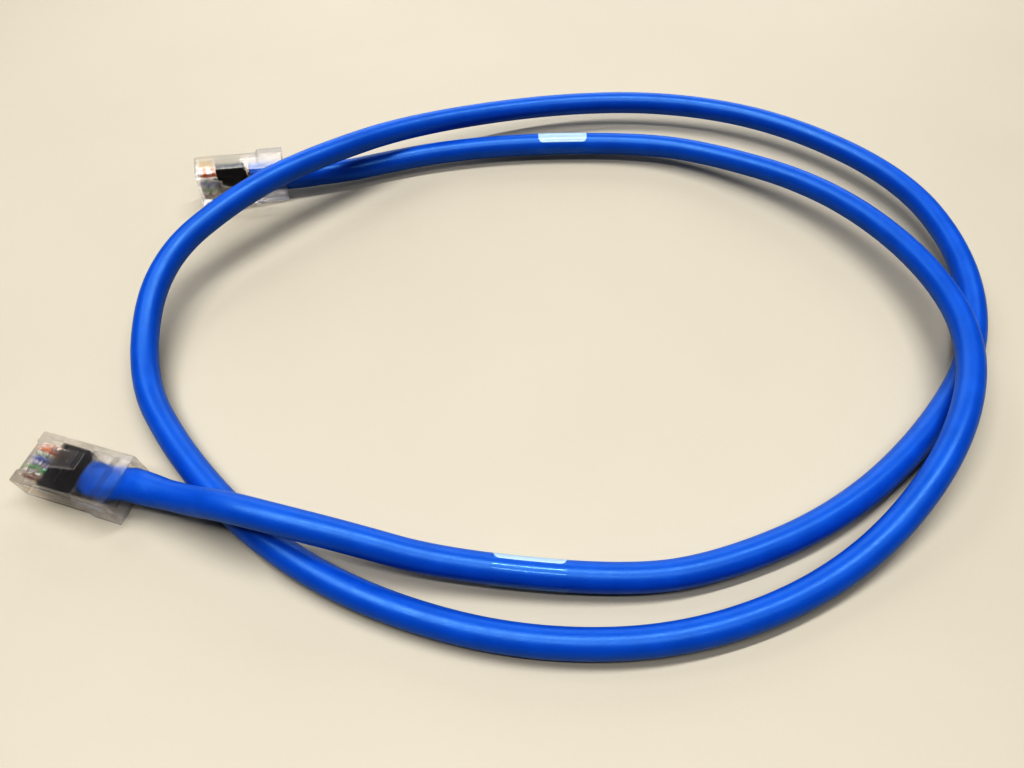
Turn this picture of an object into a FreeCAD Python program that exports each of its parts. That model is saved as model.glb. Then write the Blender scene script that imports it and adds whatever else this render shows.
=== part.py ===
import FreeCAD, Part
import math
import os
import re
import Sketcher

# A copper patch cord with a modular plug on each end, lying loose on a table.
# The table is z = 0, and the origin is under the middle of the two plugs.
# A plug has a frame of its own: x runs from its nose to its cable end, y across it,
# and z from the cable's axis up to the side with the latch. Millimetres and degrees.

Vector = FreeCAD.Vector

# Every size that drives the part, with what it is
SIZES = [
    ("cord_wide", 5.9, "outside of the round jacket"),
    ("bend_share", 0.45, "part of the shorter run that a bend of the cord takes up"),
    ("lay_wide", 163.8, "span across the table of the cord's route, which grows and shrinks with it"),
    ("past", 1.0, "how far a cut goes on past the face that it opens"),
    ("plug_long", 22.5, "plug housing, nose to cable end"),
    ("plug_wide", 11.68, "plug housing, side to side"),
    ("latch_face", 3.6, "housing's latch side above the cable's axis"),
    ("nose_high", 6.6, "housing's nose, latch side to contact side"),
    ("rear_high", 8.0, "housing's cable end, latch side to contact side"),
    ("step_start", 15.4, "start of the step between nose and cable end"),
    ("step_end", 16.1, "end of that step"),
    ("edge_round", 0.3, "rounding of the housing's long edges"),
    ("nose_bevel", 0.25, "bevel round the housing's nose"),
    ("rim_bevel", 0.3, "bevel inside the cable's entry"),
    ("recess_wide", 6.6, "recess under the latch"),
    ("recess_floor", 2.5, "recess floor above the cable's axis"),
    ("recess_end", 9.2, "far end of the recess"),
    ("seat_top", 2.9, "top of the latch's seat, and the pivot's height"),
    ("seat_end", 1.5, "cable side of the latch's seat"),
    ("pivot_x", 1.2, "latch's pivot behind the nose"),
    ("pivot_wide", 1.0, "latch's round root"),
    ("pivot_room", 0.06, "running clearance round the root"),
    ("chamber_start", 5.2, "front of the inner chamber"),
    ("chamber_wide", 9.7, "inner chamber, side to side"),
    ("chamber_roof", 2.1, "chamber's front roof above the axis"),
    ("roof_start", 12.8, "start of the rise in the chamber's roof"),
    ("roof_end", 13.4, "end of that rise"),
    ("drop_start", 11.0, "start of the drop in the chamber's floor"),
    ("drop_end", 11.8, "end of that drop"),
    ("crimp_room", 2.6, "half height of the chamber round the crimped jacket"),
    ("entry_start", 17.8, "start of the widening for the round jacket"),
    ("entry_end", 19.6, "end of that widening"),
    ("entry_room", 3.05, "half height of the chamber round the round jacket"),
    ("wire_row", 1.1, "the row of conductors above the cable's axis"),
    ("wire_slot_high", 1.0, "slot that the conductors share"),
    ("wire_slot_start", 0.7, "housing's front wall"),
    ("wire_wide", 0.88, "outside of a conductor's insulation"),
    ("wire_pitch", 1.02, "conductor to conductor, and contact to contact"),
    ("wire_start", 0.9, "front end of the conductors"),
    ("wire_turn", 10.2, "where the conductors start to close up"),
    ("wire_close", 13.4, "where they are closed up"),
    ("wire_end", 16.0, "end of the conductors, inside the jacket"),
    ("bundle_pitch", 0.61, "sideways step between conductors in the jacket"),
    ("bundle_middle", 0.4, "middle of their two rows in the jacket, above the axis"),
    ("bundle_rise", 0.52, "each of those rows off that middle"),
    ("guide_room", 0.05, "clearance between wire guide and chamber"),
    ("guide_end", 13.4, "cable side of the wire guide"),
    ("guide_low", -0.1, "guide's underside from the axis"),
    ("guide_hollow_start", 9.4, "start of the hollow where the conductors close up"),
    ("guide_corner", 1.6, "keying corner cut off the guide"),
    ("slot_end", 4.9, "cable side of the contact slots"),
    ("blade_start", 1.0, "front of a contact"),
    ("blade_end", 4.6, "back of a contact"),
    ("blade_thick", 0.35, "contact, side to side"),
    ("blade_room", 0.02, "clearance each side of a contact"),
    ("blade_reach", 6.02, "contact's touching edge below the latch side"),
    ("blade_bevel", 0.32, "bevel at the ends of a contact's touching edge"),
    ("blade_foot", 0.75, "contact's body below the row of conductors"),
    ("tine_top", 0.15, "tips of a contact's teeth above the middle of that row"),
    ("tine_half", 0.4, "half width of a tooth at its foot"),
    ("window_start", 16.7, "front of the crimp window"),
    ("window_end", 19.5, "back of the crimp window"),
    ("window_wide", 5.6, "crimp window, side to side"),
    ("window_front_deep", 1.35, "window's depth at its front"),
    ("window_back_deep", 0.9, "window's depth at its back"),
    ("latch_rest", 22.0, "latch's slope when it is free"),
    ("latch_long", 16.8, "latch, pivot to tip"),
    ("latch_wide", 6.1, "wide part of the latch"),
    ("latch_shoulder", 5.5, "pivot to the latch's locking shoulders"),
    ("shoulder_low", 0.6, "latch's underside at the shoulders"),
    ("root_half", 0.38, "half thickness of the latch at its root"),
    ("finger_wide", 3.5, "finger part of the latch at the shoulders"),
    ("finger_tip", 3.6, "finger part at its tip"),
    ("finger_low", 0.5, "finger's underside"),
    ("finger_top", 0.45, "finger's top"),
    ("tip_slope", 0.85, "length of the slope on top of the finger's tip"),
    ("tip_bevel", 0.25, "bevel under the finger's tip"),
    ("crimp_wide", 7.2, "jacket where the plug is crimped on it"),
    ("crimp_high", 4.6, "height of the jacket there"),
    ("crimp_up", 0.25, "middle of the jacket there, above the cable's axis"),
    ("exit_wide", 7.0, "jacket where it leaves the plug"),
    ("exit_high", 5.1, "height of the jacket there"),
    ("jacket_start", 13.5, "front end of the jacket in the plug"),
    ("crimp_end", 17.8, "end of the flattened stretch"),
    ("round_start", 26.0, "where the jacket is round again, and the route's end point"),
    ("socket_wide", 6.2, "hollow in the jacket's end for the conductors"),
    ("socket_high", 3.7, "height of that hollow"),
    ("socket_deep", 2.8, "depth of that hollow"),
    ("near_aside", 1.25, "where the cord leaves the near plug, sideways of its middle"),
    ("far_aside", -0.8, "where it leaves the far plug"),
    ("near_roll", 6.6, "near plug's turn about its own length"),
    ("far_roll", 90.5, "far plug's turn: it lies on its side"),
    ("patch_thick", 0.05, "printed patch under a label's clear film"),
    ("patch_angle", 150.0, "share of the way round that a patch covers"),
    ("film_thick", 0.12, "clear film of a label"),
    ("near_label_long", 14.5, "near label along the cord"),
    ("near_patch_long", 9.0, "near label's printed patch"),
    ("near_patch_turn", 60.0, "near patch's start, round the cord"),
    ("far_label_long", 12.2, "far label along the cord"),
    ("far_patch_long", 8.0, "far label's printed patch"),
    ("far_patch_turn", -90.0, "far patch's start, round the cord"),
]

# The cord's route, chosen by eye: near plug, inner loop, outer loop, far plug.
# The first and last points are where the jacket turns round again behind each plug.
# A name after a point is that of the label on the run that starts there.
ROUTE = [
    (7.8, -49.3, 5.9),
    (16.4, -52.3, 6.6),
    (25.8, -55.9, 10.4),
    (36.0, -58.9, 10.7),
    (49.2, -61.8, 9.2),
    (66.8, -65.1, 4.9, "near_label"),
    (98.8, -67.7, 3.2),
    (117.8, -65.3, 2.95),
    (144.4, -53.9, 2.95),
    (168.2, -33.7, 2.95),
    (187.2, -8.9, 2.95),
    (191.4, 18.2, 6.3),
    (184.3, 47.7, 7.2),
    (158.3, 73.2, 7.1),
    (127.0, 83.7, 7.4),
    (91.8, 82.6, 7.5),
    (51.8, 66.7, 11.0),
    (29.3, 46.2, 15.2),
    (12.6, 31.0, 15.2),
    (-4.2, 10.0, 11.2),
    (-2.6, -18.9, 4.5),
    (10.5, -38.4, 2.95),
    (29.6, -57.7, 2.95),
    (52.5, -71.6, 2.95),
    (82.5, -80.1, 2.95),
    (114.4, -78.8, 2.95),
    (145.3, -65.1, 3.3),
    (168.0, -42.9, 10.3),
    (181.5, -14.5, 10.5),
    (178.4, 14.3, 9.5),
    (161.5, 41.7, 8.9),
    (133.8, 61.7, 5.6),
    (113.8, 67.3, 4.5, "far_label"),
    (81.8, 67.0, 4.3),
    (59.8, 63.3, 4.3),
    (45.4, 59.0, 4.1),
    (33.1, 54.2, 4.2),
    (21.4, 51.5, 4.9),
]

# Allowance where an edge's place is compared
TINY = 0.01

WIRES = 8

# Flat sides of the jacket and of a conductor, in place of their round outside
CORD_SIDES = 16
WIRE_SIDES = 12

doc = FreeCAD.newDocument("PatchCord")
sheet = doc.addObject("Spreadsheet::Sheet", "Sizes")
for row, (name, value, meaning) in enumerate(SIZES, start=1):
    sheet.set("A%d" % row, meaning)
    sheet.set("B%d" % row, str(value))
    sheet.setAlias("B%d" % row, name)
doc.recompute()

NAMES = {name for name, value, meaning in SIZES}
nodes = []


def size(name):
    return float(sheet.get(name))


# Puts the sheet's name before each size that a formula uses
def formula(text):
    return re.sub(r"[a-z_]+", lambda word: "Sizes." + word[0] if word[0] in NAMES else word[0], text)


# A sketch of closed outlines, each a list of corners given as pairs of formulas
def outline(body, name, plane_role, loops):
    sketch = body.newObject("Sketcher::SketchObject", name)
    plane = [item for item in body.Origin.OriginFeatures if item.Role == plane_role][0]
    sketch.AttachmentSupport = (plane, [""])
    sketch.MapMode = "FlatFace"
    for corners in loops:
        first = sketch.GeometryCount
        spots = [[sketch.evalExpression(formula(part)) for part in corner] for corner in corners]
        for index, spot in enumerate(spots):
            following = spots[(index + 1) % len(spots)]
            sketch.addGeometry(Part.LineSegment(Vector(*spot, 0), Vector(*following, 0)))
        for index, corner in enumerate(corners):
            edge = first + index
            after = first + (index + 1) % len(corners)
            sketch.addConstraint(Sketcher.Constraint("Coincident", edge, 2, after, 1))
            for kind, part, value in zip(("DistanceX", "DistanceY"), corner, spots[index]):
                number = sketch.addConstraint(Sketcher.Constraint(kind, -1, 1, edge, 1, value))
                sketch.setExpression("Constraints[%d]" % number, formula(part))
    return sketch


# A pad or pocket of a sketch, to the same distance both ways, or one way for a depth
def shaped(body, kind, name, sketch, length, both_ways=True):
    feature = body.newObject("PartDesign::" + kind, name)
    feature.Profile = sketch
    feature.SideType = "Symmetric" if both_ways else "One side"
    feature.setExpression("Length", formula(length))
    sketch.Visibility = False
    return feature


# A fillet or chamfer on the edges of the last feature that pass the test
def eased(body, kind, name, base, length, test):
    doc.recompute()
    edges = ["Edge%d" % number for number, edge in enumerate(base.Shape.Edges, start=1) if test(edge)]
    feature = body.newObject("PartDesign::" + kind, name)
    feature.Base = (base, edges)
    feature.setExpression("Radius" if kind == "Fillet" else "Size", formula(length))
    return feature


def new_body(name, place):
    body = doc.addObject("PartDesign::Body", name)
    body.Label = name
    body.Placement = place
    nodes.append(body)
    return body


def new_solid(name, shape, place):
    solid = doc.addObject("Part::Feature", name)
    solid.Label = name
    solid.Shape = shape
    solid.Placement = place
    nodes.append(solid)
    return solid


# Conductors and contacts are counted from the plug's side where y is positive
def from_middle(index):
    return (WIRES - 1) / 2 - index


# The clear housing: one block with its latch recess, contact slots and inner chamber
def make_housing(name, place):
    body = new_body(name, place)
    side = outline(body, name + "_side", "XZ_Plane", [[
        ("0", "latch_face - nose_high"),
        ("step_start", "latch_face - nose_high"),
        ("step_end", "latch_face - rear_high"),
        ("plug_long", "latch_face - rear_high"),
        ("plug_long", "latch_face"),
        ("0", "latch_face"),
    ]])
    block = shaped(body, "Pad", name + "_block", side, "plug_wide")
    half = size("plug_wide") / 2

    def runs_along(edge):
        ends = [vertex.Point for vertex in edge.Vertexes]
        on_one_side = abs(ends[0].y - ends[1].y) < TINY and abs(abs(ends[0].y) - half) < TINY
        return on_one_side and abs(ends[0].x - ends[1].x) > TINY

    rounded = eased(body, "Fillet", name + "_rounding", block, "edge_round", runs_along)

    def at_nose(edge):
        return all(abs(vertex.Point.x) < TINY for vertex in edge.Vertexes)

    eased(body, "Chamfer", name + "_nose", rounded, "nose_bevel", at_nose)

    recess = outline(body, name + "_recess_side", "XZ_Plane", [[
        ("-past", "seat_top"),
        ("seat_end", "seat_top"),
        ("seat_end", "recess_floor"),
        ("recess_end", "recess_floor"),
        ("recess_end", "latch_face + past"),
        ("-past", "latch_face + past"),
    ]])
    shaped(body, "Pocket", name + "_recess", recess, "recess_wide")

    groove = body.newObject("Sketcher::SketchObject", name + "_groove_side")
    plane = [item for item in body.Origin.OriginFeatures if item.Role == "XZ_Plane"][0]
    groove.AttachmentSupport = (plane, [""])
    groove.MapMode = "FlatFace"
    centre = Vector(size("pivot_x"), size("seat_top"), 0)
    radius = size("pivot_wide") / 2 + size("pivot_room")
    groove.addGeometry(Part.Circle(centre, Vector(0, 0, 1), radius))
    across = groove.addConstraint(Sketcher.Constraint("DistanceX", -1, 1, 0, 3, centre.x))
    groove.setExpression("Constraints[%d]" % across, formula("pivot_x"))
    up = groove.addConstraint(Sketcher.Constraint("DistanceY", -1, 1, 0, 3, centre.y))
    groove.setExpression("Constraints[%d]" % up, formula("seat_top"))
    girth = groove.addConstraint(Sketcher.Constraint("Radius", 0, radius))
    groove.setExpression("Constraints[%d]" % girth, formula("pivot_wide / 2 + pivot_room"))
    shaped(body, "Pocket", name + "_groove", groove, "recess_wide")

    slot = outline(body, name + "_wire_slot_side", "XZ_Plane", [[
        ("wire_slot_start", "wire_row - wire_slot_high / 2"),
        ("chamber_start + past", "wire_row - wire_slot_high / 2"),
        ("chamber_start + past", "wire_row + wire_slot_high / 2"),
        ("wire_slot_start", "wire_row + wire_slot_high / 2"),
    ]])
    shaped(body, "Pocket", name + "_wire_slot", slot, "%d * wire_pitch" % WIRES)

    chamber = outline(body, name + "_chamber_side", "XZ_Plane", [[
        ("chamber_start", "guide_low - guide_room"),
        ("drop_start", "guide_low - guide_room"),
        ("drop_end", "-crimp_room"),
        ("entry_start", "-crimp_room"),
        ("entry_end", "-entry_room"),
        ("plug_long + past", "-entry_room"),
        ("plug_long + past", "entry_room"),
        ("entry_end", "entry_room"),
        ("entry_start", "crimp_room"),
        ("roof_end", "crimp_room"),
        ("roof_start", "chamber_roof"),
        ("chamber_start", "chamber_roof"),
    ]])
    hollow = shaped(body, "Pocket", name + "_chamber", chamber, "chamber_wide")

    def at_entry(edge):
        ends = [vertex.Point for vertex in edge.Vertexes]
        at_back = all(abs(point.x - size("plug_long")) < TINY for point in ends)
        inside = all(abs(point.y) < size("chamber_wide") / 2 + TINY for point in ends)
        return at_back and inside and all(abs(point.z) < size("entry_room") + TINY for point in ends)

    eased(body, "Chamfer", name + "_entry", hollow, "rim_bevel", at_entry)

    window = outline(body, name + "_window_side", "XZ_Plane", [[
        ("window_start", "latch_face - rear_high - past"),
        ("window_end", "latch_face - rear_high - past"),
        ("window_end", "latch_face - rear_high + window_back_deep"),
        ("window_start", "latch_face - rear_high + window_front_deep"),
    ]])
    shaped(body, "Pocket", name + "_window", window, "window_wide")

    slots = []
    for index in range(WIRES):
        middle = "%.1f * wire_pitch" % from_middle(index)
        near = middle + " - blade_thick / 2 - blade_room"
        far = middle + " + blade_thick / 2 + blade_room"
        slots.append([("-past", near), ("slot_end", near), ("slot_end", far), ("-past", far)])
    contacts = outline(body, name + "_contact_slots_plan", "XY_Plane", slots)
    contacts.setExpression("AttachmentOffset.Base.z", formula("wire_row"))
    shaped(body, "Pocket", name + "_contact_slots", contacts, "nose_high", both_ways=False)


# The latch, in the frame of its pivot: x to its tip, z away from the housing
def make_latch(name, place):
    turn = FreeCAD.Rotation(Vector(0, -1, 0), size("latch_rest"))
    pivot = FreeCAD.Placement(Vector(size("pivot_x"), 0, size("seat_top")), turn)
    body = new_body(name, place.multiply(pivot))
    side = outline(body, name + "_side", "XZ_Plane", [[
        ("0", "-root_half"),
        ("latch_shoulder", "-shoulder_low"),
        ("latch_shoulder", "-finger_low"),
        ("latch_long - tip_bevel", "-finger_low"),
        ("latch_long", "tip_bevel - finger_low"),
        ("latch_long - tip_slope", "finger_top"),
        ("0", "root_half"),
    ]])
    shaped(body, "Pad", name + "_plate", side, "latch_wide")
    root = body.newObject("Sketcher::SketchObject", name + "_root_side")
    plane = [item for item in body.Origin.OriginFeatures if item.Role == "XZ_Plane"][0]
    root.AttachmentSupport = (plane, [""])
    root.MapMode = "FlatFace"
    root.addGeometry(Part.Circle(Vector(0, 0, 0), Vector(0, 0, 1), size("pivot_wide") / 2))
    root.addConstraint(Sketcher.Constraint("Coincident", 0, 3, -1, 1))
    girth = root.addConstraint(Sketcher.Constraint("Radius", 0, size("pivot_wide") / 2))
    root.setExpression("Constraints[%d]" % girth, formula("pivot_wide / 2"))
    shaped(body, "Pad", name + "_root", root, "latch_wide")
    sides = []
    for sign in ("", "-"):
        sides.append([
            ("latch_shoulder", sign + "finger_wide / 2"),
            ("latch_long + past", sign + "finger_tip / 2"),
            ("latch_long + past", sign + "latch_wide"),
            ("latch_shoulder", sign + "latch_wide"),
        ])
    cuts = outline(body, name + "_shoulders_plan", "XY_Plane", sides)
    shaped(body, "Pocket", name + "_shoulders", cuts, "latch_long")


# The black guide that holds the conductors in line behind the contacts
def make_guide(name, place):
    body = new_body(name, place)
    side = outline(body, name + "_side", "XZ_Plane", [[
        ("chamber_start + guide_room", "guide_low"),
        ("guide_end", "guide_low"),
        ("guide_end", "chamber_roof - guide_room"),
        ("chamber_start + guide_room", "chamber_roof - guide_room"),
    ]])
    shaped(body, "Pad", name + "_block", side, "chamber_wide - 2 * guide_room")
    slot = outline(body, name + "_slot_side", "XZ_Plane", [[
        ("chamber_start - past", "wire_row - wire_slot_high / 2"),
        ("guide_hollow_start", "wire_row - wire_slot_high / 2"),
        ("guide_hollow_start", "guide_low - past"),
        ("guide_end + past", "guide_low - past"),
        ("guide_end + past", "wire_row + wire_slot_high / 2"),
        ("chamber_start - past", "wire_row + wire_slot_high / 2"),
    ]])
    shaped(body, "Pocket", name + "_slot", slot, "%d * wire_pitch" % WIRES)
    corner = outline(body, name + "_corner_plan", "XY_Plane", [[
        ("guide_end - guide_corner", "chamber_wide / 2"),
        ("guide_end", "chamber_wide / 2"),
        ("guide_end", "chamber_wide / 2 - guide_corner"),
    ]])
    shaped(body, "Pocket", name + "_corner", corner, "rear_high * 2")


# One contact: a flat blade whose two teeth go into its conductor
def make_contact(name, place, index):
    shift = Vector(0, from_middle(index) * size("wire_pitch"), 0)
    body = new_body(name, place.multiply(FreeCAD.Placement(shift, FreeCAD.Rotation())))
    side = [
        ("blade_start", "latch_face - blade_reach + blade_bevel"),
        ("blade_start + blade_bevel", "latch_face - blade_reach"),
        ("blade_end - blade_bevel", "latch_face - blade_reach"),
        ("blade_end", "latch_face - blade_reach + blade_bevel"),
        ("blade_end", "wire_row - blade_foot"),
    ]
    for middle in ("(blade_start + 3 * blade_end) / 4", "(3 * blade_start + blade_end) / 4"):
        side.append((middle + " + tine_half", "wire_row - blade_foot"))
        side.append((middle, "wire_row + tine_top"))
        side.append((middle + " - tine_half", "wire_row - blade_foot"))
    side.append(("blade_start", "wire_row - blade_foot"))
    sketch = outline(body, name + "_side", "XZ_Plane", [side])
    shaped(body, "Pad", name + "_blade", sketch, "blade_thick")


# Straight runs joined by arcs that are as large as the runs allow
def rounded_path(points):
    edges = []
    radii = []
    start = points[0]
    for before, point, after in zip(points, points[1:], points[2:]):
        way_in = point - before
        way_out = after - point
        reach = size("bend_share") * min(way_in.Length, way_out.Length)
        half_turn = way_in.getAngle(way_out) / 2
        radius = reach / math.tan(half_turn)
        way_in.normalize()
        way_out.normalize()
        inward = way_out - way_in
        inward.normalize()
        arc_start = point - way_in * reach
        arc_end = point + way_out * reach
        arc_middle = point + inward * (radius / math.cos(half_turn) - radius)
        edges.append(Part.LineSegment(start, arc_start).toShape())
        edges.append(Part.Arc(arc_start, arc_middle, arc_end).toShape())
        radii.append(radius)
        start = arc_end
    edges.append(Part.LineSegment(start, points[-1]).toShape())
    return Part.Wire(edges), radii


# A many-sided ring across the x axis, as wide and high as asked
def ring(middle, wide, high, sides, phase=0.0):
    corners = []
    for index in range(sides):
        angle = phase + 2 * math.pi * index / sides
        corners.append(middle + Vector(0, wide / 2 * math.cos(angle), high / 2 * math.sin(angle)))
    return Part.makePolygon(corners + corners[:1])


def make_tube(path, place, wide, sides):
    section = ring(Vector(), wide, wide, sides)
    section.Placement = place
    return path.makePipeShell([section], True, False)


def make_wire(name, place, index):
    aside = from_middle(index)
    row = aside * size("wire_pitch")
    bundle = aside * size("bundle_pitch")
    rise = size("bundle_middle") + size("bundle_rise") * (1 if index % 2 else -1)
    points = [
        Vector(size("wire_start"), row, size("wire_row")),
        Vector(size("wire_turn"), row, size("wire_row")),
        Vector(size("wire_close"), bundle, rise),
        Vector(size("wire_end"), bundle, rise),
    ]
    path, radii = rounded_path(points)
    start = FreeCAD.Placement(points[0], FreeCAD.Rotation())
    new_solid(name, make_tube(path, start, size("wire_wide"), WIRE_SIDES), place)


# The jacket's flattened end in a plug, with the hollow where the conductors come out.
# Its sides meet those of the round cord, one corner of which is given in the plug's frame.
def make_crimped_end(corner, aside):
    phase = math.atan2(corner.z, corner.y - aside)

    def section(x, wide, high, across=0.0, up=0.0):
        middle = Vector(size(x), across, up)
        return ring(middle, size(wide), size(high), CORD_SIDES, phase)

    up = size("crimp_up")
    flat = Part.Face(section("jacket_start", "crimp_wide", "crimp_high", 0, up))
    flat = flat.extrude(Vector(size("crimp_end") - size("jacket_start"), 0, 0))
    easing = Part.makeLoft([
        section("crimp_end", "crimp_wide", "crimp_high", 0, up),
        section("plug_long", "exit_wide", "exit_high", aside),
        section("round_start", "cord_wide", "cord_wide", aside),
    ], True, True)
    hollow = Part.Face(section("jacket_start", "socket_wide", "socket_high", 0, up))
    hollow = hollow.extrude(Vector(size("socket_deep"), 0, 0))
    return flat.fuse(easing).cut(hollow)


# Where the cord's end run meets a plug, in the plug's frame
def cord_spot(title):
    return Vector(size("round_start"), size(title + "_aside"), 0)


# Where a plug stands, from the cord's end run and the plug's turn about its length
def plug_place(end, following, title):
    way = following - end
    yaw = math.degrees(math.atan2(way.y, way.x))
    climb = math.degrees(math.atan2(way.z, math.hypot(way.x, way.y)))
    turn = FreeCAD.Rotation(yaw, -climb, size(title + "_roll"))
    return FreeCAD.Placement(end - turn.multVec(cord_spot(title)), turn)


# A printed patch round part of the cord, and the clear film over it all the way round
def make_label(name, start, end, long, patch_long, patch_turn):
    way = end - start
    middle = (start + end) / 2
    turn = FreeCAD.Rotation(Vector(0, 0, 1), way)
    inner = "cord_wide / 2"
    outer = inner + " + patch_thick"

    def hollow_piece(label, length, low, high, angle, round_turn):
        place = FreeCAD.Placement(middle, turn.multiply(FreeCAD.Rotation(Vector(0, 0, 1), round_turn)))
        place = place.multiply(FreeCAD.Placement(Vector(0, 0, -size(length) / 2), FreeCAD.Rotation()))
        pair = []
        for part, radius in (("_outer", high), ("_inner", low)):
            cylinder = doc.addObject("Part::Cylinder", label + part)
            cylinder.setExpression("Radius", formula(radius))
            cylinder.setExpression("Height", formula(length))
            cylinder.setExpression("Angle", formula(angle))
            pair.append(cylinder)
        sleeve = doc.addObject("Part::Cut", label)
        sleeve.Label = label
        sleeve.Base, sleeve.Tool = pair
        sleeve.Placement = place
        nodes.append(sleeve)

    hollow_piece(name + "_patch", patch_long, inner, outer, "patch_angle", size(patch_turn))
    hollow_piece(name + "_film", long, outer, outer + " + film_thick", "360", 0)


drawn_wide = max(spot[1] for spot in ROUTE) - min(spot[1] for spot in ROUTE)
spread = size("lay_wide") / drawn_wide
route = [Vector(x * spread, y * spread, z) for x, y, z, *label in ROUTE]
plugs = [
    ("near", plug_place(route[0], route[1], "near")),
    ("far", plug_place(route[-1], route[-2], "far")),
]

for title, place in plugs:
    plug = title + "_plug"
    make_housing(plug + "_housing", place)
    make_latch(plug + "_latch", place)
    make_guide(plug + "_wire_guide", place)
    for index in range(WIRES):
        make_contact("%s_contact_%d" % (plug, index + 1), place, index)
        make_wire("%s_conductor_%d" % (plug, index + 1), place, index)

path, radii = rounded_path(route)
near_end = plugs[0][1].multiply(FreeCAD.Placement(cord_spot("near"), FreeCAD.Rotation()))
tube = make_tube(path, near_end, size("cord_wide"), CORD_SIDES)
section = CORD_SIDES / 2 * math.sin(2 * math.pi / CORD_SIDES) * size("cord_wide") ** 2 / 4
print("bend radii", [round(radius) for radius in radii])
print("cord", round(path.Length, 1), "volume over section times length", tube.Volume / section / path.Length)

ends = []
for title, place in plugs:
    inside = place.inverse()
    spots = [inside.multVec(vertex.Point) for vertex in tube.Vertexes]
    corner = min(spots, key=lambda spot: spot.distanceToPoint(cord_spot(title)))
    end = make_crimped_end(corner, size(title + "_aside"))
    end.Placement = place
    ends.append(end)
new_solid("jacket", tube.fuse(ends), FreeCAD.Placement())

# The cord's least distance to itself, between points more than a few bends apart
samples = path.discretize(Distance=1.0)
apart = 40
gaps = []
for index, sample in enumerate(samples):
    for other in range(index + apart, len(samples)):
        gaps.append(sample.distanceToPoint(samples[other]))
print("least gap of the cord to itself", round(min(gaps) - size("cord_wide"), 2))

for spot, start, end in zip(ROUTE, route, route[1:]):
    for title in spot[3:]:
        side = title.split("_")[0]
        sizes = [side + "_label_long", side + "_patch_long", side + "_patch_turn"]
        make_label(title, start, end, *sizes)

doc.recompute()
for item in doc.Objects:
    if "Invalid" in item.State or "Error" in item.State:
        raise ValueError("%s did not recompute: %s" % (item.Label, item.State))
os.makedirs("parts", exist_ok=True)
for node in nodes:
    if node.Shape.isNull() or not node.Shape.isValid() or len(node.Shape.Solids) != 1:
        raise ValueError("%s is not one valid solid" % node.Label)
    node.Shape.exportStep("parts/%s.step" % node.Label)
print(len(nodes), "pieces")
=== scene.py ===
import math

import bmesh
import bpy
from mathutils import Euler, Matrix, Vector


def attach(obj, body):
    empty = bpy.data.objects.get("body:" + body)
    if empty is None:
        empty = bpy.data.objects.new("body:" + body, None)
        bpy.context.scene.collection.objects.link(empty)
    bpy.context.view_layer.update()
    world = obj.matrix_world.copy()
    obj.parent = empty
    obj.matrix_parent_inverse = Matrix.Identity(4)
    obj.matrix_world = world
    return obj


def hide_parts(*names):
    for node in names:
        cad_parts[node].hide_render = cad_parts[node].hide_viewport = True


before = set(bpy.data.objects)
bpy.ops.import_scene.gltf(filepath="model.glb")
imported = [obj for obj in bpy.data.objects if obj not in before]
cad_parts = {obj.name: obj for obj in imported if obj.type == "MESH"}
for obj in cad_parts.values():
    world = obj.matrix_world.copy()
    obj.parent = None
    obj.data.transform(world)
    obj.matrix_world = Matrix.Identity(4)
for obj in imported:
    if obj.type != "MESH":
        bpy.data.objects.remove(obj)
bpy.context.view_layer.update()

MM = 0.001
FULL_TURN = 2 * math.pi

# The cord's route in millimetres, from the near plug to the far plug
ROUTE = [
    (7.8, -49.3, 5.9),
    (16.4, -52.3, 6.6),
    (25.8, -55.9, 10.4),
    (36.0, -58.9, 10.7),
    (49.2, -61.8, 9.2),
    (66.8, -65.1, 4.9),
    (98.8, -67.7, 3.2),
    (117.8, -65.3, 2.95),
    (144.4, -53.9, 2.95),
    (168.2, -33.7, 2.95),
    (187.2, -8.9, 2.95),
    (191.4, 18.2, 6.3),
    (184.3, 47.7, 7.2),
    (158.3, 73.2, 7.1),
    (127.0, 83.7, 7.4),
    (91.8, 82.6, 7.5),
    (51.8, 66.7, 11.0),
    (29.3, 46.2, 15.2),
    (12.6, 31.0, 15.2),
    (-4.2, 10.0, 11.2),
    (-2.6, -18.9, 4.5),
    (10.5, -38.4, 2.95),
    (29.6, -57.7, 2.95),
    (52.5, -71.6, 2.95),
    (82.5, -80.1, 2.95),
    (114.4, -78.8, 2.95),
    (145.3, -65.1, 3.3),
    (168.0, -42.9, 10.3),
    (181.5, -14.5, 10.5),
    (178.4, 14.3, 9.5),
    (161.5, 41.7, 8.9),
    (133.8, 61.7, 5.6),
    (113.8, 67.3, 4.5),
    (81.8, 67.0, 4.3),
    (59.8, 63.3, 4.3),
    (45.4, 59.0, 4.1),
    (33.1, 54.2, 4.2),
    (21.4, 51.5, 4.9),
]
CORD_RADIUS = 2.95

# A plug's own frame has x from its nose to its rear and z towards its latch. The route
# ends at x = ROUND_START, PLUG_ASIDE off the plug's middle, and the cord leaves the plug
# at x = CORD_EXIT. PLUG_ROLL is in degrees about x.
ROUND_START = 26.0
PLUG_ASIDE = {"near": 1.25, "far": -0.8}
PLUG_ROLL = {"near": 6.6, "far": 90.5}

# The labels: lengths in millimetres, and angles round the cord in degrees from its top.
# A label's middle is shift past the middle between the route's points run and run + 1.
LABELS = {
    "near": {
        "run": 5, "shift": 0.2, "film_long": 14.6, "patch_long": 13.8,
        "patch_from": -150, "patch_to": -19, "seam": 75,
    },
    "far": {
        "run": 32, "shift": 4.35, "film_long": 14.4, "patch_long": 13.7,
        "patch_from": -46, "patch_to": 75, "seam": 150,
    },
}
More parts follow.
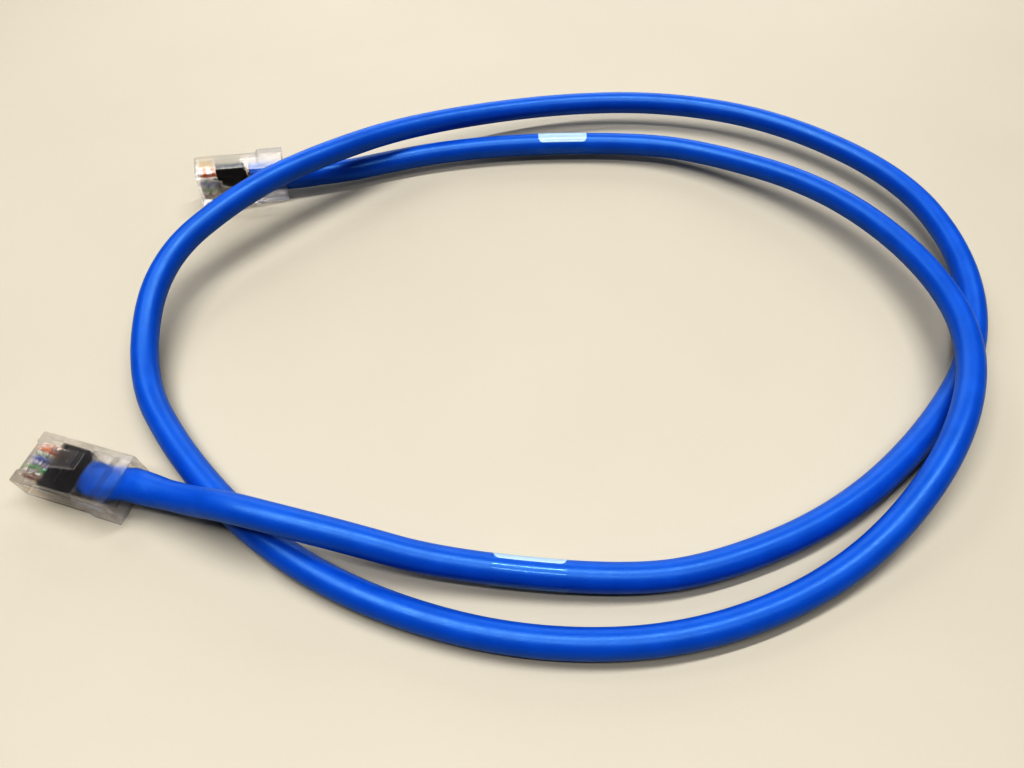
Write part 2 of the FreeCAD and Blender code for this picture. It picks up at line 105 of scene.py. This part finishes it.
# The film starts at radius FILM_INSIDE and climbs FILM_CLIMB in each turn
FILM_INSIDE = 3.0
FILM_CLIMB = 0.10
FILM_THICK = 0.07
FILM_STEPS = 24
FILM_SIDES = 64
FILM_OVERLAP_SIDES = 8
FILM_WELD = 0.000001
PATCH_LIFT = 0.03
PATCH_CORNER = 1.3
PATCH_STEPS = 32
PATCH_SIDES = 24

# The jacket's flattened end in a plug, ring by ring: place along the plug, width, height
# and the depth of the crimp bar's dent. It starts inside the hollow and ends in the cord.
CRIMP_RINGS = [
    (16.2, 6.0, 3.5, 0.0),
    (13.62, 6.0, 3.5, 0.0),
    (13.5, 6.2, 3.7, 0.0),
    (13.5, 7.0, 4.4, 0.0),
    (13.62, 7.2, 4.6, 0.0),
    (16.0, 7.2, 4.6, 0.0),
    (16.7, 7.2, 4.6, 0.3),
    (17.3, 7.2, 4.6, 0.7),
    (17.8, 7.2, 4.6, 0.6),
    (18.4, 7.17, 4.66, 0.2),
    (19.4, 7.13, 4.77, 0.0),
    (21.0, 7.06, 4.94, 0.0),
    (22.5, 7.0, 5.1, 0.0),
    (24.0, 6.92, 5.4, 0.0),
    (25.2, 6.84, 5.7, 0.0),
    (26.0, 6.78, 5.86, 0.0),
    (27.5, 6.6, 5.9, 0.0),
    (29.0, 6.36, 5.9, 0.0),
    (30.5, 6.08, 5.88, 0.0),
    (31.5, 5.84, 5.8, 0.0),
    (32.6, 5.4, 5.4, 0.0),
]
CRIMP_SIDES = 64
CRIMP_DENT_WIDE = 2.4
# The flattened end's middle is CRIMP_RISE over the plug's, up to x = SLOPE_START. From
# there it passes, over SLOPE_LONG, to the cord's middle.
CRIMP_RISE = 0.25
SLOPE_START = 17.8
SLOPE_LONG = 4.7

# The photograph's camera
CAMERA_PLACE = (79.8, -136.3, 145.0)
CAMERA_TILT = 50.8
CAMERA_LENS = 29.18
SENSOR_WIDTH = 36

TABLE_HALF = 2.5
LIT_SPOT = (0.09, 0.0, 0.0)
CEILING_WHITE = (1.0, 0.99, 0.96)
WHITE = (1.0, 1.0, 1.0)
# Name, place, width, depth, power, colour
LIGHTS = [
    ("back_strip", (0.05, 0.12, 1.0), 1.3, 0.07, 7.6, CEILING_WHITE),
    ("front_strip", (0.05, -0.36, 1.0), 1.3, 0.07, 4.6, CEILING_WHITE),
    ("window", (0.1, 1.1, 0.45), 1.4, 0.7, 4.0, WHITE),
    ("side_panel", (-0.62, 0.61, 1.0), 0.45, 0.3, 1.4, WHITE),
]
WORLD_COLOUR = (0.95, 0.96, 1.0, 1)
WORLD_STRENGTH = 0.09

JACKET_BLUES = ((0.0035, 0.087, 0.41), (0.005, 0.098, 0.455))
JACKET_SHINE = (0.5, 0.82, 1.0, 1)
TABLE_CREAMS = ((0.434, 0.401, 0.339), (0.449, 0.415, 0.351))
CLEAR_TINT = (0.98, 0.955, 0.965, 1)
FILM_SHINE = (0.45, 0.75, 1.0, 1)
FILM_SHARE_FACING = 0.014
FILM_SHARE_OUTLINE = 0.10
FILM_STEEPNESS = 4.0
PLAIN_DETAIL = 4
GUIDE_BLACK = (0.003, 0.002, 0.0025)
GOLD = (0.95, 0.66, 0.26)
LABEL_PAPER = (0.37, 0.49, 0.62)
STRIPE_WHITE = (0.82, 0.8, 0.76)
WIRE_COLOURS = {
    "orange": (0.75, 0.16, 0.02),
    "green": (0.02, 0.3, 0.06),
    "blue": (0.02, 0.09, 0.5),
    "brown": (0.16, 0.06, 0.025),
}
# The T568B order: of each two, the first is striped
WIRE_ORDER = ["orange", "orange", "green", "blue", "blue", "green", "brown", "brown"]

# Depths of bumps in metres
FINE_BUMP = 0.00001
WAVY_BUMP = 0.00002
ROUGH_BUMP = 0.00003


# ---- materials

def new_material(name):
    material = bpy.data.materials.new(name)
    material.use_nodes = True
    shader = material.node_tree.nodes["Principled BSDF"]
    return material, material.node_tree, shader


def add_node(tree, kind, **values):
    node = tree.nodes.new(kind)
    for key, value in values.items():
        if key in node.inputs:
            node.inputs[key].default_value = value
        else:
            setattr(node, key, value)
    return node


def place_on_object(tree):
    return add_node(tree, "ShaderNodeTexCoord").outputs["Object"]


def noise(tree, scale, detail):
    texture = add_node(tree, "ShaderNodeTexNoise", Scale=scale, Detail=detail)
    tree.links.new(place_on_object(tree), texture.inputs["Vector"])
    return texture.outputs["Fac"]


# Turns a noise's middle range into values from low to high
def spread(tree, factor, low, high):
    reach = add_node(tree, "ShaderNodeMapRange")
    reach.inputs["From Min"].default_value = 0.3
    reach.inputs["From Max"].default_value = 0.7
    reach.inputs["To Min"].default_value = low
    reach.inputs["To Max"].default_value = high
    tree.links.new(factor, reach.inputs["Value"])
    return reach.outputs["Result"]


def two_colours(tree, factor, first, second, first_stop=0.35, second_stop=0.65):
    ramp = add_node(tree, "ShaderNodeValToRGB")
    stops = zip(ramp.color_ramp.elements, (first_stop, second_stop), (first, second))
    for element, position, colour in stops:
        element.position = position
        element.color = (*colour, 1)
    tree.links.new(factor, ramp.inputs["Fac"])
    return ramp.outputs["Color"]


def bumpy(tree, shader, factor, depth, strength=1.0):
    bump = add_node(tree, "ShaderNodeBump", Strength=strength, Distance=depth)
    tree.links.new(factor, bump.inputs["Height"])
    tree.links.new(bump.outputs["Normal"], shader.inputs["Normal"])
    return bump


def jacket_material():
    material, tree, shader = new_material("blue_jacket")
    colour = two_colours(tree, noise(tree, scale=160, detail=4), *JACKET_BLUES)
    tree.links.new(colour, shader.inputs["Base Color"])
    roughness = spread(tree, noise(tree, scale=420, detail=5), low=0.34, high=0.43)
    tree.links.new(roughness, shader.inputs["Roughness"])
    shader.inputs["Specular IOR Level"].default_value = 0.75
    shader.inputs["Specular Tint"].default_value = JACKET_SHINE
    bumpy(tree, shader, noise(tree, scale=2600, detail=6), ROUGH_BUMP)
    return material


# Clear plastic with faintly wavy faces; its edges shine as if rounded
def clear_material():
    material, tree, shader = new_material("clear_polycarbonate")
    shader.inputs["Base Color"].default_value = CLEAR_TINT
    shader.inputs["Transmission Weight"].default_value = 0.985
    shader.inputs["IOR"].default_value = 1.4
    shader.inputs["Alpha"].default_value = 0.55
    roughness = spread(tree, noise(tree, scale=900, detail=4), low=0.02, high=0.06)
    tree.links.new(roughness, shader.inputs["Roughness"])
    edge = add_node(tree, "ShaderNodeBevel", samples=4, Radius=0.0002)
    bump = bumpy(tree, shader, noise(tree, scale=700, detail=3), WAVY_BUMP)
    tree.links.new(edge.outputs["Normal"], bump.inputs["Normal"])
    return material


# One colour with a little shade, roughness and grain
def plain_material(name, colour, roughness, metallic=0.0, scale=1500, shade=0.85):
    material, tree, shader = new_material(name)
    darker = tuple(part * shade for part in colour)
    shaded = two_colours(tree, noise(tree, scale, PLAIN_DETAIL), darker, colour)
    tree.links.new(shaded, shader.inputs["Base Color"])
    grain = noise(tree, scale * 2, PLAIN_DETAIL)
    uneven = spread(tree, grain, low=roughness * 0.8, high=roughness * 1.2)
    tree.links.new(uneven, shader.inputs["Roughness"])
    shader.inputs["Metallic"].default_value = metallic
    bumpy(tree, shader, noise(tree, scale * 3, PLAIN_DETAIL), FINE_BUMP)
    return material


# White insulation with rings of its partner's colour
def striped_material(name, colour):
    material, tree, shader = new_material(name)
    wave = add_node(tree, "ShaderNodeTexWave", Scale=150, Distortion=0.6)
    tree.links.new(place_on_object(tree), wave.inputs["Vector"])
    rings = two_colours(
        tree, wave.outputs["Fac"], STRIPE_WHITE, colour, first_stop=0.62, second_stop=0.7
    )
    tree.links.new(rings, shader.inputs["Base Color"])
    shader.inputs["Roughness"].default_value = 0.4
    bumpy(tree, shader, noise(tree, scale=3000, detail=4), FINE_BUMP)
    return material


# Clear film: nearly all of it lets the light through, and the rest shines, most at the outline
def film_material():
    material, tree, shader = new_material("clear_film")
    shader.inputs["Base Color"].default_value = FILM_SHINE
    shader.inputs["Metallic"].default_value = 1.0
    shader.inputs["Roughness"].default_value = 0.1
    facing = add_node(tree, "ShaderNodeLayerWeight", Blend=0.5)
    steep = add_node(tree, "ShaderNodeMath", operation="POWER")
    steep.inputs[1].default_value = FILM_STEEPNESS
    share = add_node(tree, "ShaderNodeMapRange")
    share.inputs["To Min"].default_value = FILM_SHARE_FACING
    share.inputs["To Max"].default_value = FILM_SHARE_OUTLINE
    tree.links.new(facing.outputs["Facing"], steep.inputs[0])
    tree.links.new(steep.outputs["Value"], share.inputs["Value"])
    tree.links.new(share.outputs["Result"], shader.inputs["Alpha"])
    bumpy(tree, shader, noise(tree, scale=400, detail=2), FINE_BUMP, strength=0.4)
    return material


blue = jacket_material()
clear = clear_material()
black = plain_material("black_guide", GUIDE_BLACK, 0.35)
black_shader = black.node_tree.nodes["Principled BSDF"]
black_shader.inputs["Specular IOR Level"].default_value = 0.15
gold = plain_material("gold_plate", GOLD, 0.22, metallic=1.0, scale=2500, shade=0.9)
pale = plain_material("label_paper", LABEL_PAPER, 0.4, scale=900, shade=0.94)
film = film_material()
solid_wire = {
    name: plain_material("insulation_" + name, colour, 0.38)
    for name, colour in WIRE_COLOURS.items()
}
striped_wire = {
    name: striped_material("insulation_white_" + name, colour)
    for name, colour in WIRE_COLOURS.items()
}


def dress(node_name, material):
    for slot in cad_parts[node_name].material_slots:
        slot.material = material


for side in ("near", "far"):
    plug = side + "_plug_"
    dress(plug + "housing", clear)
    dress(plug + "latch", clear)
    dress(plug + "wire_guide", black)
    for index, colour in enumerate(WIRE_ORDER):
        wires = solid_wire if index % 2 else striped_wire
        dress("%scontact_%d" % (plug, index + 1), gold)
        dress("%sconductor_%d" % (plug, index + 1), wires[colour])


# ---- the cord

def show(piece):
    bpy.context.scene.collection.objects.link(piece)


def curve_object(name, radius):
    curve = bpy.data.curves.new(name, "CURVE")
    curve.dimensions = "3D"
    spline = curve.splines.new("NURBS")
    spline.points.add(len(ROUTE) - 1)
    for point, spot in zip(spline.points, ROUTE):
        point.co = (*(part * MM for part in spot), 1)
    spline.order_u = 3
    spline.use_endpoint_u = True
    curve.resolution_u = 16
    curve.bevel_depth = radius * MM
    curve.bevel_resolution = 10
    curve.use_fill_caps = True
    piece = bpy.data.objects.new(name, curve)
    show(piece)
    return piece


cord = curve_object("cord", CORD_RADIUS)
cord.data.materials.append(blue)

# The cord's centre line, read from a spline without thickness
guide = curve_object("centre_line", 0)
guide.data.use_fill_caps = False
bpy.context.view_layer.update()
line_mesh = bpy.data.meshes.new_from_object(guide)
line = [vertex.co.copy() for vertex in line_mesh.vertices]
bpy.data.meshes.remove(line_mesh)
bpy.data.objects.remove(guide)
along = [0.0]
for before, after in zip(line, line[1:]):
    along.append(along[-1] + (after - before).length)


# The place on the centre line at a distance from its start, with the line's way there
def line_at(distance):
    index = 0
    while index < len(along) - 2 and along[index + 1] < distance:
        index += 1
    part = (distance - along[index]) / (along[index + 1] - along[index])
    way = (line[index + 1] - line[index]).normalized()
    earlier = (line[index] - line[index - 1]).normalized() if index else way
    later = (line[index + 2] - line[index + 1]).normalized() if index + 2 < len(line) else way
    way = ((earlier + way) * (1 - part) + (way + later) * part).normalized()
    return line[index].lerp(line[index + 1], part), way


# A point on or over the cord's outside: angle 0 is up, and 90 degrees is right of the way
def on_cord(distance, angle, radius):
    centre, way = line_at(distance)
    right = way.cross(Vector((0, 0, 1))).normalized()
    up = right.cross(way)
    return centre + (up * math.cos(angle) + right * math.sin(angle)) * radius * MM


def nearest_distance(spot):
    target = Vector(spot) * MM
    return along[min(range(len(line)), key=lambda index: (line[index] - target).length)]


def mesh_object(name, build, material, smooth=True):
    mesh = bpy.data.meshes.new(name)
    shape = bmesh.new()
    build(shape)
    bmesh.ops.recalc_face_normals(shape, faces=shape.faces)
    shape.to_mesh(mesh)
    shape.free()
    for face in mesh.polygons:
        face.use_smooth = smooth
    mesh.materials.append(material)
    piece = bpy.data.objects.new(name, mesh)
    show(piece)
    return piece


# Joins rows of points into a skin, closed across the rows if asked
def skin(shape, rows, closed=False):
    grid = [[shape.verts.new(point) for point in row] for row in rows]
    for upper, lower in zip(grid, grid[1:]):
        count = len(upper)
        for index in range(count if closed else count - 1):
            after = (index + 1) % count
            shape.faces.new((upper[index], upper[after], lower[after], lower[index]))
    return grid


# ---- labels: a pale patch with round corners, and a clear film wound over it

def label(side, run, shift, film_long, patch_long, patch_from, patch_to, seam):
    first, second = (Vector(ROUTE[run]), Vector(ROUTE[run + 1]))
    middle = nearest_distance((first + second) / 2) + shift * MM
    patch_start = math.radians(patch_from)
    patch_wide = (math.radians(patch_to) - patch_start) * CORD_RADIUS

    def build_film(shape):
        outer, inner = [], []
        for step in range(FILM_STEPS + 1):
            place = middle + (step / FILM_STEPS - 0.5) * film_long * MM
            low, high = [], []
            for point in range(FILM_SIDES + FILM_OVERLAP_SIDES + 1):
                turns = point / FILM_SIDES
                angle = math.radians(seam) + FULL_TURN * turns
                rise = FILM_INSIDE + FILM_CLIMB * turns
                low.append(on_cord(place, angle, rise))
                high.append(on_cord(place, angle, rise + FILM_THICK))
            inner.append(low)
            outer.append(high)
        for rows in (inner, outer):
            skin(shape, rows)
        for end in (0, -1):
            skin(shape, [inner[end], outer[end]])
        for end in (0, -1):
            skin(shape, [[row[end] for row in inner], [row[end] for row in outer]])
        bmesh.ops.remove_doubles(shape, verts=shape.verts, dist=FILM_WELD)

    def build_patch(shape):
        rows = []
        for step in range(PATCH_STEPS + 1):
            x = step / PATCH_STEPS * patch_long
            place = middle + (x - patch_long / 2) * MM
            from_arc = PATCH_CORNER - min(x, patch_long - x, PATCH_CORNER)
            cut = PATCH_CORNER - math.sqrt(max(PATCH_CORNER ** 2 - from_arc ** 2, 0))
            row = []
            for point in range(PATCH_SIDES + 1):
                y = cut + (patch_wide - 2 * cut) * point / PATCH_SIDES
                angle = patch_start + y / CORD_RADIUS
                row.append(on_cord(place, angle, CORD_RADIUS + PATCH_LIFT))
            rows.append(row)
        skin(shape, rows)

    wrap = mesh_object(side + "_film", build_film, film)
    patch = mesh_object(side + "_patch", build_patch, pale)
    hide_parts(side + "_label_film")
    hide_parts(side + "_label_patch")
    return [wrap, patch]


near_label = label("near", **LABELS["near"])
far_label = label("far", **LABELS["far"])


# ---- the jacket's flattened ends inside the clear plugs

# From a plug's own frame in millimetres to the scene
def plug_matrix(side):
    end_index, next_index = (0, 1) if side == "near" else (-1, -2)
    end = Vector(ROUTE[end_index])
    way = Vector(ROUTE[next_index]) - end
    yaw = math.atan2(way.y, way.x)
    climb = math.atan2(way.z, math.hypot(way.x, way.y))
    turn = Euler((math.radians(PLUG_ROLL[side]), -climb, yaw), "XYZ").to_matrix()
    base = end - turn @ Vector((ROUND_START, PLUG_ASIDE[side], 0))
    return Matrix.Translation(base * MM) @ turn.to_4x4() @ Matrix.Scale(MM, 4)


def crimped_end(side):
    place = plug_matrix(side)

    def ring(x, wide, high, dent):
        part = min(max((x - SLOPE_START) / SLOPE_LONG, 0), 1)
        middle = Vector((x, PLUG_ASIDE[side] * part, CRIMP_RISE * (1 - part)))
        row = []
        for point in range(CRIMP_SIDES):
            angle = FULL_TURN * point / CRIMP_SIDES
            across, up = wide / 2 * math.cos(angle), high / 2 * math.sin(angle)
            pressed = dent * math.exp(-(across / CRIMP_DENT_WIDE) ** 2) if up < 0 else 0
            row.append(place @ (middle + Vector((0, across, up + pressed))))
        return row

    def build(shape):
        grid = skin(shape, [ring(*sizes) for sizes in CRIMP_RINGS], closed=True)
        shape.faces.new(grid[0])
        shape.faces.new(grid[-1])

    return mesh_object(side + "_crimped_end", build, blue)


crimps = [crimped_end("near"), crimped_end("far")]

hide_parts("jacket")
for piece in [cord] + crimps + near_label + far_label:
    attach(piece, "cord")


# ---- table, light and camera

def table():
    def build(shape):
        bmesh.ops.create_grid(shape, x_segments=1, y_segments=1, size=TABLE_HALF)

    material, tree, shader = new_material("pale_table")
    colour = two_colours(tree, noise(tree, scale=9, detail=4), *TABLE_CREAMS)
    tree.links.new(colour, shader.inputs["Base Color"])
    shader.inputs["Roughness"].default_value = 0.55
    bumpy(tree, shader, noise(tree, scale=900, detail=5), ROUGH_BUMP)
    return mesh_object("table", build, material, smooth=False)


def area_light(name, place, wide, deep, power, colour):
    data = bpy.data.lights.new(name, "AREA")
    data.shape = "RECTANGLE"
    data.energy = power
    data.size = wide
    data.size_y = deep
    data.color = colour
    lamp = bpy.data.objects.new(name, data)
    lamp.location = place
    way = Vector(LIT_SPOT) - Vector(place)
    lamp.rotation_euler = way.to_track_quat("-Z", "Y").to_euler()
    show(lamp)


floor = table()
for light in LIGHTS:
    area_light(*light)

world = bpy.data.worlds.new("studio")
bpy.context.scene.world = world
world.use_nodes = True
background = world.node_tree.nodes["Background"]
background.inputs["Color"].default_value = WORLD_COLOUR
background.inputs["Strength"].default_value = WORLD_STRENGTH
bpy.context.scene.view_settings.view_transform = "Standard"
bpy.context.scene.view_settings.look = "Very High Contrast"

view = bpy.data.cameras.new("camera")
view.lens = CAMERA_LENS
view.sensor_width = SENSOR_WIDTH
view.clip_start = 0.01
camera = bpy.data.objects.new("camera", view)
camera.location = Vector(CAMERA_PLACE) * MM
camera.rotation_euler = (math.radians(90 - CAMERA_TILT), 0, 0)
show(camera)
bpy.context.scene.camera = camera
